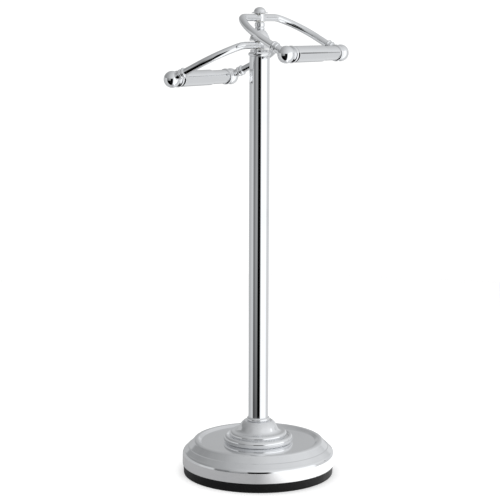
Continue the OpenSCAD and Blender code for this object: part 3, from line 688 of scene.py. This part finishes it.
# Centre line of one side of a yoke, from inside its hub to inside its ball, as (points, tangents, radii).
# Each bend is start + R (1 - cos a) side + R sin a along, so its tangent is sin a side + cos a along.
def yokeLine(legRun, legSlope, look=yoke):
    tilt, slope = math.radians(look["firstTilt"]), math.radians(legSlope)
    turn = math.radians(look["firstAngle"])
    change = tilt - slope
    roll = -math.atan(math.tan(change) / math.cos(turn))
    secondTurn = math.acos(math.sin(turn) * math.cos(change))
    along = np.array([0.0, 1.0, 0.0])
    firstSide = np.array([math.cos(tilt), 0, -math.sin(tilt)])
    afterSide = math.cos(turn) * firstSide - math.sin(turn) * along
    afterAlong = math.sin(turn) * firstSide + math.cos(turn) * along
    afterUp = np.array([math.sin(tilt), 0, math.cos(tilt)])
    secondSide = math.cos(roll) * afterSide - math.sin(roll) * afterUp
    legAlong = np.array([math.cos(slope), 0, -math.sin(slope)])

    def bend(start, radius, side, ahead, angle, count):
        a = np.linspace(0, angle, count)[:, None]
        return (start + radius * ((1 - np.cos(a)) * side + np.sin(a) * ahead), np.sin(a) * side + np.cos(a) * ahead)

    firstRun = look["firstRadius"] * math.sin(turn)
    secondShift = look["secondRadius"] * ((1 - math.cos(secondTurn)) * secondSide + math.sin(secondTurn) * afterAlong)
    middleRun = look["halfSpan"] - firstRun - secondShift[1]
    startY = 4.0
    runY = np.concatenate([[startY, startY], np.linspace(startY + 0.4, 12, 12), np.linspace(14, middleRun, 6)])
    straight = np.stack([0 * runY, runY, 0 * runY], 1)
    firstBend, firstWay = bend(straight[-1], look["firstRadius"], firstSide, along, turn, 56)
    secondBend, secondWay = bend(firstBend[-1], look["secondRadius"], secondSide, afterAlong, secondTurn, 96)
    hold = 0.2
    rodEnd, spigotEnd = legRun - look["rodEnd"], legRun - look["spigotEnd"]
    distances = np.array([2, 8, rodEnd - hold, rodEnd, rodEnd, spigotEnd, spigotEnd])
    run = secondBend[-1] + distances[:, None] * legAlong
    points = np.concatenate([straight, firstBend[1:], secondBend[1:], run])
    ways = np.concatenate([np.tile(along, (len(straight), 1)), firstWay[1:], secondWay[1:],
                           np.tile(legAlong, (len(run), 1))])
    radii = look["rod"] + look["web"] * np.exp(-np.maximum(points[:, 1] - look["hub"], 0) / look["webReach"])
    radii[0], radii[-1] = 0, 0
    radii[-3:-1] = look["spigot"]
    return points, ways, radii, secondBend[-1] + legRun * legAlong, legAlong


# profiles measured along the leg from the ball centre, and along Y from it
beadWidth = leg["collarLength"] * 0.36
start, length, waist = leg["collarStart"], leg["collarLength"], leg["waist"]
collarRod = joined(
    [yoke["rod"] + 0.03, -start - length], [waist, -start - length],
    ovalArc((waist, -start - length + beadWidth / 2 + 0.3), leg["collar"] - waist, beadWidth / 2, -90, 90, 15),
    ovalArc((waist, -start - beadWidth / 2 - 0.3), leg["collar"] - waist, beadWidth / 2, -90, 90, 15),
    [waist, -start], [yoke["spigot"] + 0.03, -start], [yoke["spigot"] + 0.03, -yoke["rodEnd"]],
    [yoke["rod"] + 0.03, -yoke["rodEnd"]])
ballStart = math.degrees(math.asin(-leg["face"] / leg["ball"]))
ballProfile = joined(
    ovalArc((0, 0), leg["ball"], leg["ball"], 90, ballStart, 44),
    [leg["socket"], -leg["face"]], [leg["socket"], -leg["face"] + leg["socketDepth"]],
    [0, -leg["face"] + leg["socketDepth"]])
ballProfile[0, 0] = 0
touch = math.sqrt(leg["ball"] ** 2 - leg["neck"] ** 2)
neckProfile = joined(
    [0, -start], [leg["neck"], -start], [leg["neck"], -touch - 1.2], [leg["neck"] + 0.12, -touch - 0.7],
    [leg["neck"] + 0.5, -touch - 0.1], [leg["neck"] + 0.6, -touch + 0.6], [0, -touch + 0.6])

for level, turnSign in (("upper", 1.0), ("lower", -1.0)):
    linePoints, lineWays, lineRadii, ballPlace, legWay = yokeLine(yoke["legRun"][level], yoke["legSlope"][level])
    legUp = np.array([-legWay[2], 0.0, legWay[0]])
    hubBottom = nodeBox(level + "_seat_washer")[1][2]
    hubTop = nodeBox(level + "_cap_washer")[0][2]
    hubCentre = np.array([0, 0, (hubBottom + hubTop) / 2])
    halfTurn = np.array([turnSign, turnSign, 1.0])
    half = yoke["hubHeight"] / 2
    hubProfile = [[yoke["hubBore"], -half], [yoke["hub"], -half], [yoke["hub"], half], [yoke["hubBore"], half]]
    shells = [turned(hubProfile, hubCentre, around=80, reach=0.5)]
    for flip in (1.0, -1.0):
        mirrored = np.array([1.0, flip, 1.0]) * halfTurn
        ways = lineWays * mirrored
        side = np.cross(ways, legUp * mirrored)
        side /= np.linalg.norm(side, axis=1)[:, None]
        shells.append(skinned(hubCentre + linePoints * mirrored, lineRadii, side, np.cross(ways, side), False, 56))
    piece(level + "_yoke_bent", shells, "yokeChrome", level + "_arm", [level + "_yoke"])
    for end, sign in (("front", -1.0), ("back", 1.0)):
        centre = hubCentre + ballPlace * np.array([turnSign, sign, 1.0])
        along = legWay * np.array([turnSign, 1.0, 1.0])
        piece(f"{level}_{end}_collar_beads", [turned(collarRod, centre, along, around=80, reach=0.12)],
              "yokeChrome", level + "_arm", [f"{level}_{end}_collar"])
        piece(f"{level}_{end}_ball_end",
              [turned(ballProfile, centre, rollerAxis * sign, closed=False, around=96, reach=0.3),
               turned(neckProfile, centre, along, closed=False, around=64, reach=0.2)],
              "yokeChrome", level + "_arm", [f"{level}_{end}_ball"])
print("yokes: rods, collars and balls")


# the spring-loaded rollers
roller = {
    "outer": 10.0,
    "wall": 0.95,
    "inner": 9.0,
    "reach": 18.0,          # open end of the outer sleeve, from the middle
    "innerBack": 6.0,       # hidden end of the inner sleeve, from the middle
    "capStart": 59.4,
    "capEnd": 50.0,
    "bead": 10.5,
    "beadWidth": 4.2,
    "cove": 8.3,
    "nose": 6.4,
    "pin": 3.0,
    "pinTip": 67.0,
    "pinBevel": 0.4,
    "plug": 6.0,
    "plugGap": 0.03,        # between a plug and the bore of its sleeve
    "lip": 1.4,             # from the bead to the nose
}
spring = {
    "coil": 6.2,
    "wire": 0.6,
    "turns": 8.0,
    "closedTurns": 1.0,     # flat turns at each end
    "push": 12.0,           # how far the plunger presses it
}


# profile of an end cap along the roller, for the sleeve of the given radius
def capProfile(sleeve, plug, look=roller):
    start, end = look["capStart"], look["capEnd"]
    middle = start - look["lip"] - look["beadWidth"] / 2
    return joined(
        [0, end - look["plug"]], [plug, end - look["plug"]], [plug, end], [sleeve, end], [sleeve, end + 1],
        [look["cove"], end + 2], [look["cove"], middle - look["beadWidth"] / 2],
        ovalArc((look["cove"], middle), look["bead"] - look["cove"], look["beadWidth"] / 2, -90, 90, 24),
        [look["nose"] + 0.8, start - 1.2], [look["nose"], start], [look["pin"], start],
        [look["pin"], look["pinTip"] - look["pinBevel"]], [look["pin"] - look["pinBevel"], look["pinTip"]],
        [0, look["pinTip"]])


# Helix along Y: radius R, angle a = 360 turns * t, and y a smoothed function of t with flat turns at both ends.
def helixShell(centre, low, high, look=spring):
    t = np.linspace(0, 1, int(look["turns"] * 40))
    flat = look["closedTurns"] / look["turns"]
    free = np.clip((t - flat) / (1 - 2 * flat), 0, 1)
    flatRise = 2.1 * look["wire"]
    y = low + look["wire"] + flatRise * np.clip(t / flat, 0, 1) + flatRise * np.clip((t - 1 + flat) / flat, 0, 1) \
        + (high - low - 2 * look["wire"] - 2 * flatRise) * free
    angle = 2 * math.pi * look["turns"] * t
    out = np.stack([np.cos(angle), 0 * t, -np.sin(angle)], 1)
    points = centre + look["coil"] * out + y[:, None] * rollerAxis
    ways = np.gradient(points, axis=0)
    ways /= np.linalg.norm(ways, axis=1)[:, None]
    radii = np.full(len(t), look["wire"])
    ends = [np.r_[0, 0:len(t), len(t) - 1]]
    points, ways, out = (array[tuple(ends)] for array in (points, ways, out))
    radii = np.r_[0, radii, 0]
    return skinned(points, radii, out, np.cross(ways, out), False, 14)


for level in ("upper", "lower"):
    low, high = nodeBox(level + "_outer_sleeve")
    centre = np.array([(low[0] + high[0]) / 2, 0, (low[2] + high[2]) / 2])
    f = roller
    outerBore = f["outer"] - f["wall"]
    innerBore = f["inner"] - f["wall"]
    outerProfile = [[outerBore, -f["capEnd"]], [f["outer"], -f["capEnd"]], [f["outer"], f["reach"]],
                    [outerBore, f["reach"]]]
    innerProfile = [[innerBore, -f["innerBack"]], [f["inner"], -f["innerBack"]], [f["inner"], f["capEnd"]],
                    [innerBore, f["capEnd"]]]
    piece(level + "_outer_sleeve_tube", [turned(outerProfile, centre, rollerAxis, around=112, reach=0.3)],
          "rollerChrome", level + "_roller", [level + "_outer_sleeve"])
    piece(level + "_inner_sleeve_tube", [turned(innerProfile, centre, rollerAxis, around=112, reach=0.3)],
          "rollerChrome", level + "_plunger", [level + "_inner_sleeve"])
    piece(level + "_outer_cap_turned",
          [turned(capProfile(f["outer"], outerBore - f["plugGap"]), centre, -rollerAxis, False, 112, 0.2)],
          "rollerChrome", level + "_roller", [level + "_outer_cap"])
    piece(level + "_inner_cap_turned",
          [turned(capProfile(f["inner"], innerBore - f["plugGap"]), centre, rollerAxis, False, 112, 0.2)],
          "rollerChrome", level + "_plunger", [level + "_inner_cap"])
    springLow, springHigh = nodeBox(level + "_spring")
    coil = piece(level + "_spring_coil", [helixShell(centre, springLow[1], springHigh[1])], "wire",
                 level + "_roller", [level + "_spring"])
    length = springHigh[1] - springLow[1]
    centre[0] * mm
    centre[2] * mm
    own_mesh(coil)
print("rollers: sleeves, caps and springs")


# CAD nodes that stay, with their finishes
kept = {
    "base_weight": "iron", "base_washer": "zinc", "base_nut": "zinc", "tie_rod": "zinc", "head_stud": "zinc",
    "upper_spring_seat": "zinc", "lower_spring_seat": "zinc",
}
for node, finishName in kept.items():
    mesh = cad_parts[node].data
    mesh.materials.clear()
    mesh.materials.append(finishes[finishName])
print("kept nodes:", len(kept))


# the camera, at the photograph's angle
shot = {
    "azimuth": 31.5,        # degrees from the row's X axis to the picture's right
    "pitch": 8.368,         # degrees down
    "roll": 0.167,          # degrees
    "distance": 1.951,      # metres, level with the floor
    "aside": 0.0113,        # how far the optical axis passes left of the post
    "height": 0.5773,
    "focal": 1550.0,        # picture widths of 500
    "width": 500.0,
    "sensor": 36.0,
}
turn, pitch, roll = (math.radians(shot[key]) for key in ("azimuth", "pitch", "roll"))
rightWay = np.array([math.cos(turn), math.sin(turn), 0])
awayWay = np.array([-math.sin(turn), math.cos(turn), 0])
lookWay = awayWay * math.cos(pitch) - upAxis * math.sin(pitch)
overWay = np.cross(rightWay, lookWay)
cameraRight = rightWay * math.cos(roll) + overWay * math.sin(roll)
cameraUp = overWay * math.cos(roll) - rightWay * math.sin(roll)
cameraPlace = -awayWay * shot["distance"] - rightWay * shot["aside"] + upAxis * shot["height"]
camera = bpy.data.objects.new("camera", bpy.data.cameras.new("camera"))
camera.data.sensor_width = shot["sensor"]
camera.data.lens = shot["focal"] / shot["width"] * shot["sensor"]
camera.data.clip_start, camera.data.clip_end = 0.05, 50.0
camera.matrix_world = Matrix([[*row] for row in np.vstack([
    np.stack([cameraRight, cameraUp, -lookWay, cameraPlace], 1), [0, 0, 0, 1]]).tolist()])
bpy.context.scene.collection.objects.link(camera)
bpy.context.scene.camera = camera
print("camera: lens", round(camera.data.lens, 1), "mm")


# the studio: floor, surround and lamps
studio = {
    "floorRadius": 1.6,
    "tableRadius": 0.19,    # how much of the floor polished faces show
    "floorColour": (0.86, 0.86, 0.86, 1.0),
    "floorGlow": 0.32,      # what the floor adds of its own to what the camera sees
    "paintedReflectionGlow": 0.45,      # painted light: a glow that only polished faces see on the floor, on the picture's right
    "paintedReflectionShade": (0.46, 0.46, 0.465, 1.0),  # painted shade: the darker floor colour that polished faces show, on the picture's left
    "worldSeen": 1.08,      # backdrop as the camera sees it
    "worldLight": 0.55,     # backdrop as it lights matt surfaces
}

# Painted reflections: what polished faces show round them in place of the backdrop, tones that light nothing else.
# Angles are in degrees from the camera's side, positive to the picture's right;
# each row has the angle where a tone starts, the softness of that edge and the tone.
paintedReflections = {
    "behind": 0.46,
    "tones": [(-160, 14, 0.51), (-118, 6, 0.54), (-98, 4, 0.64), (-68.5, 3, 0.22), (-43, 3, 0.37), (-15.5, 2, 0.0),
              (19, 7, 1.15), (95, 4, 0.70), (140, 10, 0.74), (168, 8, 0.46)],
    "ceiling": 0.58,        # painted reflection tone overhead
    "ceilingRight": 0.3,    # brighter by this to the picture's right
    "ceilingFront": 0.1,    # and by this towards the camera's side
    "patches": 0.14,        # soft unevenness of the ceiling
    "panelTop": (10.0, 14.0),
    "brightReflectionSide": ((22, 42), (88, 104)),      # bearings where the painted bright reflection on the right starts and stops
    "rise": 12.0,           # it reaches this much higher than the rest
    "darkReflectionBands": ((-72, -66), (-18, -13)),   # the same for the painted dark reflection bands on the left
    "fade": (-20.0, -6.0),  # the painted dark bands on the left fade out downwards
    "streakAside": (118.8, 120.6),  # where the painted dark reflection streak on the upper roller lies, how high, soft and strong it is
    "streakLift": (2.5, 11.0),
    "streakSoft": 1.0,
    "streakDepth": 0.85,
    "cool": (0.97, 0.985, 1.0, 1.0),
}


# 1 for the rays that the camera sends, and for those that see through clear pieces
def cameraRays(wire):
    seen = wire.node("ShaderNodeLightPath", None, None, "Is Camera Ray")
    return seen.maths("MAXIMUM", seen, wire.node("ShaderNodeLightPath", None, None, "Is Transmission Ray"))


# The floor is two round sheets: point (i, j) = (R i cos a j, R i sin a j, 0). Polished faces show the inner one.
material, wire = newMaterial("floor_white_painted_reflections")
seen = cameraRays(wire)
glossy = wire.node("ShaderNodeLightPath", None, None, "Is Glossy Ray")
spot = wire.node("ShaderNodeTexCoord", None, None, "Object")
east = wire.node("ShaderNodeSeparateXYZ", None, {"Vector": spot}, "X")
north = wire.node("ShaderNodeSeparateXYZ", None, {"Vector": spot}, "Y")
aside = east * float(rightWay[0]) + north * float(rightWay[1])
# bright marks the floor's half on the picture's right: there polished faces see painted light, on the left painted
# shade
bright = aside.step(-0.01, 0.10)
glow = seen * studio["floorGlow"] + glossy * bright * studio["paintedReflectionGlow"]
finish(wire, wire.node("ShaderNodeBsdfPrincipled", None, {
    "Base Color": (glossy * (1.0 - bright)).tint(studio["floorColour"], studio["paintedReflectionShade"]),
    "Roughness": 0.9, "Specular IOR Level": 0.0,
    "Emission Color": glow.tint((0.0, 0.0, 0.0, 1.0), (1.0, 1.0, 1.0, 1.0)), "Emission Strength": 1.0}))
angle = np.radians(np.arange(0, 360, 3))
for name, radii, isShown in (("floor_table", (0.0, studio["tableRadius"]), True),
                             ("floor_far", (studio["tableRadius"], 0.5, studio["floorRadius"]), False)):
    radius = np.array(radii)
    points = np.stack([radius[:, None] * np.cos(angle), radius[:, None] * np.sin(angle),
                       np.full((len(radius), len(angle)), -0.0002)], -1).reshape(-1, 3)
    index = np.arange(len(points)).reshape(len(radius), len(angle))
    around = np.roll(index, -1, 1)
    faces = np.stack([index[:-1], index[1:], around[1:], around[:-1]], -1).reshape(-1, 4).tolist()
    if not radii[0]:
        faces = [[0, outer, following] for _, outer, following, _ in faces]
        used = sorted({corner for face in faces for corner in face})
        points = points[used]
        faces = [[used.index(corner) for corner in face] for face in faces]
    mesh = bpy.data.meshes.new(name)
    mesh.from_pydata(points.tolist(), [], faces)
    mesh.materials.append(material)
    made = bpy.data.objects.new(name, mesh)
    made.visible_glossy = isShown
    bpy.context.scene.collection.objects.link(made)

world = bpy.data.worlds.new("studio")
bpy.context.scene.world = world
world.use_nodes = True
world.node_tree.nodes.clear()
wire = Wire(world.node_tree)
way = wire.node("ShaderNodeTexCoord", None, None, "Generated")
x, y, z = (wire.node("ShaderNodeSeparateXYZ", None, {"Vector": way}, axis) for axis in "XYZ")
aside = x * float(rightWay[0]) + y * float(rightWay[1])
ahead = (x * float(awayWay[0]) + y * float(awayWay[1])) * -1.0
bearing = wire.maths("ARCTAN2", aside, ahead) * math.degrees(1)
lift = wire.maths("ARCSINE", z) * math.degrees(1)
tone, last = paintedReflections["behind"], paintedReflections["behind"]
for place, soft, after in paintedReflections["tones"]:
    tone = tone + (after - last) * bearing.step(place - soft, place + soft)
    last = after
darkReflectionBands, brightReflectionSide = (bearing.step(*paintedReflections[side][0]) - bearing.step(*paintedReflections[side][1])
                          for side in ("darkReflectionBands", "brightReflectionSide"))
tone = tone * (1.0 - darkReflectionBands * (1.0 - lift.step(*paintedReflections["fade"])))
ceiling = paintedReflections["ceiling"] + aside * paintedReflections["ceilingRight"] + ahead * paintedReflections["ceilingFront"]
ceiling = ceiling + (noise(wire, way, 2.4, 2.0) - 0.5) * paintedReflections["patches"]
over = (lift - brightReflectionSide * paintedReflections["rise"]).step(*paintedReflections["panelTop"])
tone = tone + over * (ceiling - tone)
soft = paintedReflections["streakSoft"]
streak = [way.step(low - soft, low + soft) - way.step(high - soft, high + soft)
          for way, (low, high) in ((bearing, paintedReflections["streakAside"]), (lift, paintedReflections["streakLift"]))]
tone = tone * (1.0 - streak[0] * streak[1] * paintedReflections["streakDepth"])
# polished faces see the painted reflection tones in place of the backdrop
glossy = wire.node("ShaderNodeLightPath", None, None, "Is Glossy Ray")
strength = studio["worldLight"] + cameraRays(wire) * (studio["worldSeen"] - studio["worldLight"])
strength = strength + glossy * (tone - strength)
background = wire.node("ShaderNodeBackground", None, {"Color": glossy.tint((1.0, 1.0, 1.0, 1.0), paintedReflections["cool"]),
                                                      "Strength": strength})
wire.node("ShaderNodeOutputWorld", None, {"Surface": background})

# soft lamps: place, size in metres and power in watts
lamps = {
    "key": ((1.5, -1.2, 2.0), 1.6, 20.0),
    "fill": ((-1.7, -0.9, 1.6), 1.8, 11.0),
    "over": ((-0.2, 0.6, 2.4), 1.6, 12.0),
}
for name, (place, size, power) in lamps.items():
    lamp = bpy.data.lights.new(name, "AREA")
    lamp.shape = "SQUARE"
    lamp.size = size
    lamp.energy = power
    made = bpy.data.objects.new(name, lamp)
    ahead = unit(np.array([0, 0, 0.25]) - np.array(place))
    side = unit(np.cross(ahead, upAxis))
    made.matrix_world = Matrix([[*row] for row in np.vstack([
        np.stack([side, np.cross(side, ahead), -ahead, place], 1), [0, 0, 0, 1]]).tolist()])
    made.visible_glossy = False
    bpy.context.scene.collection.objects.link(made)
bpy.context.scene.view_settings.view_transform = "Standard"
print("studio: floor, surround and", len(lamps), "lamps")
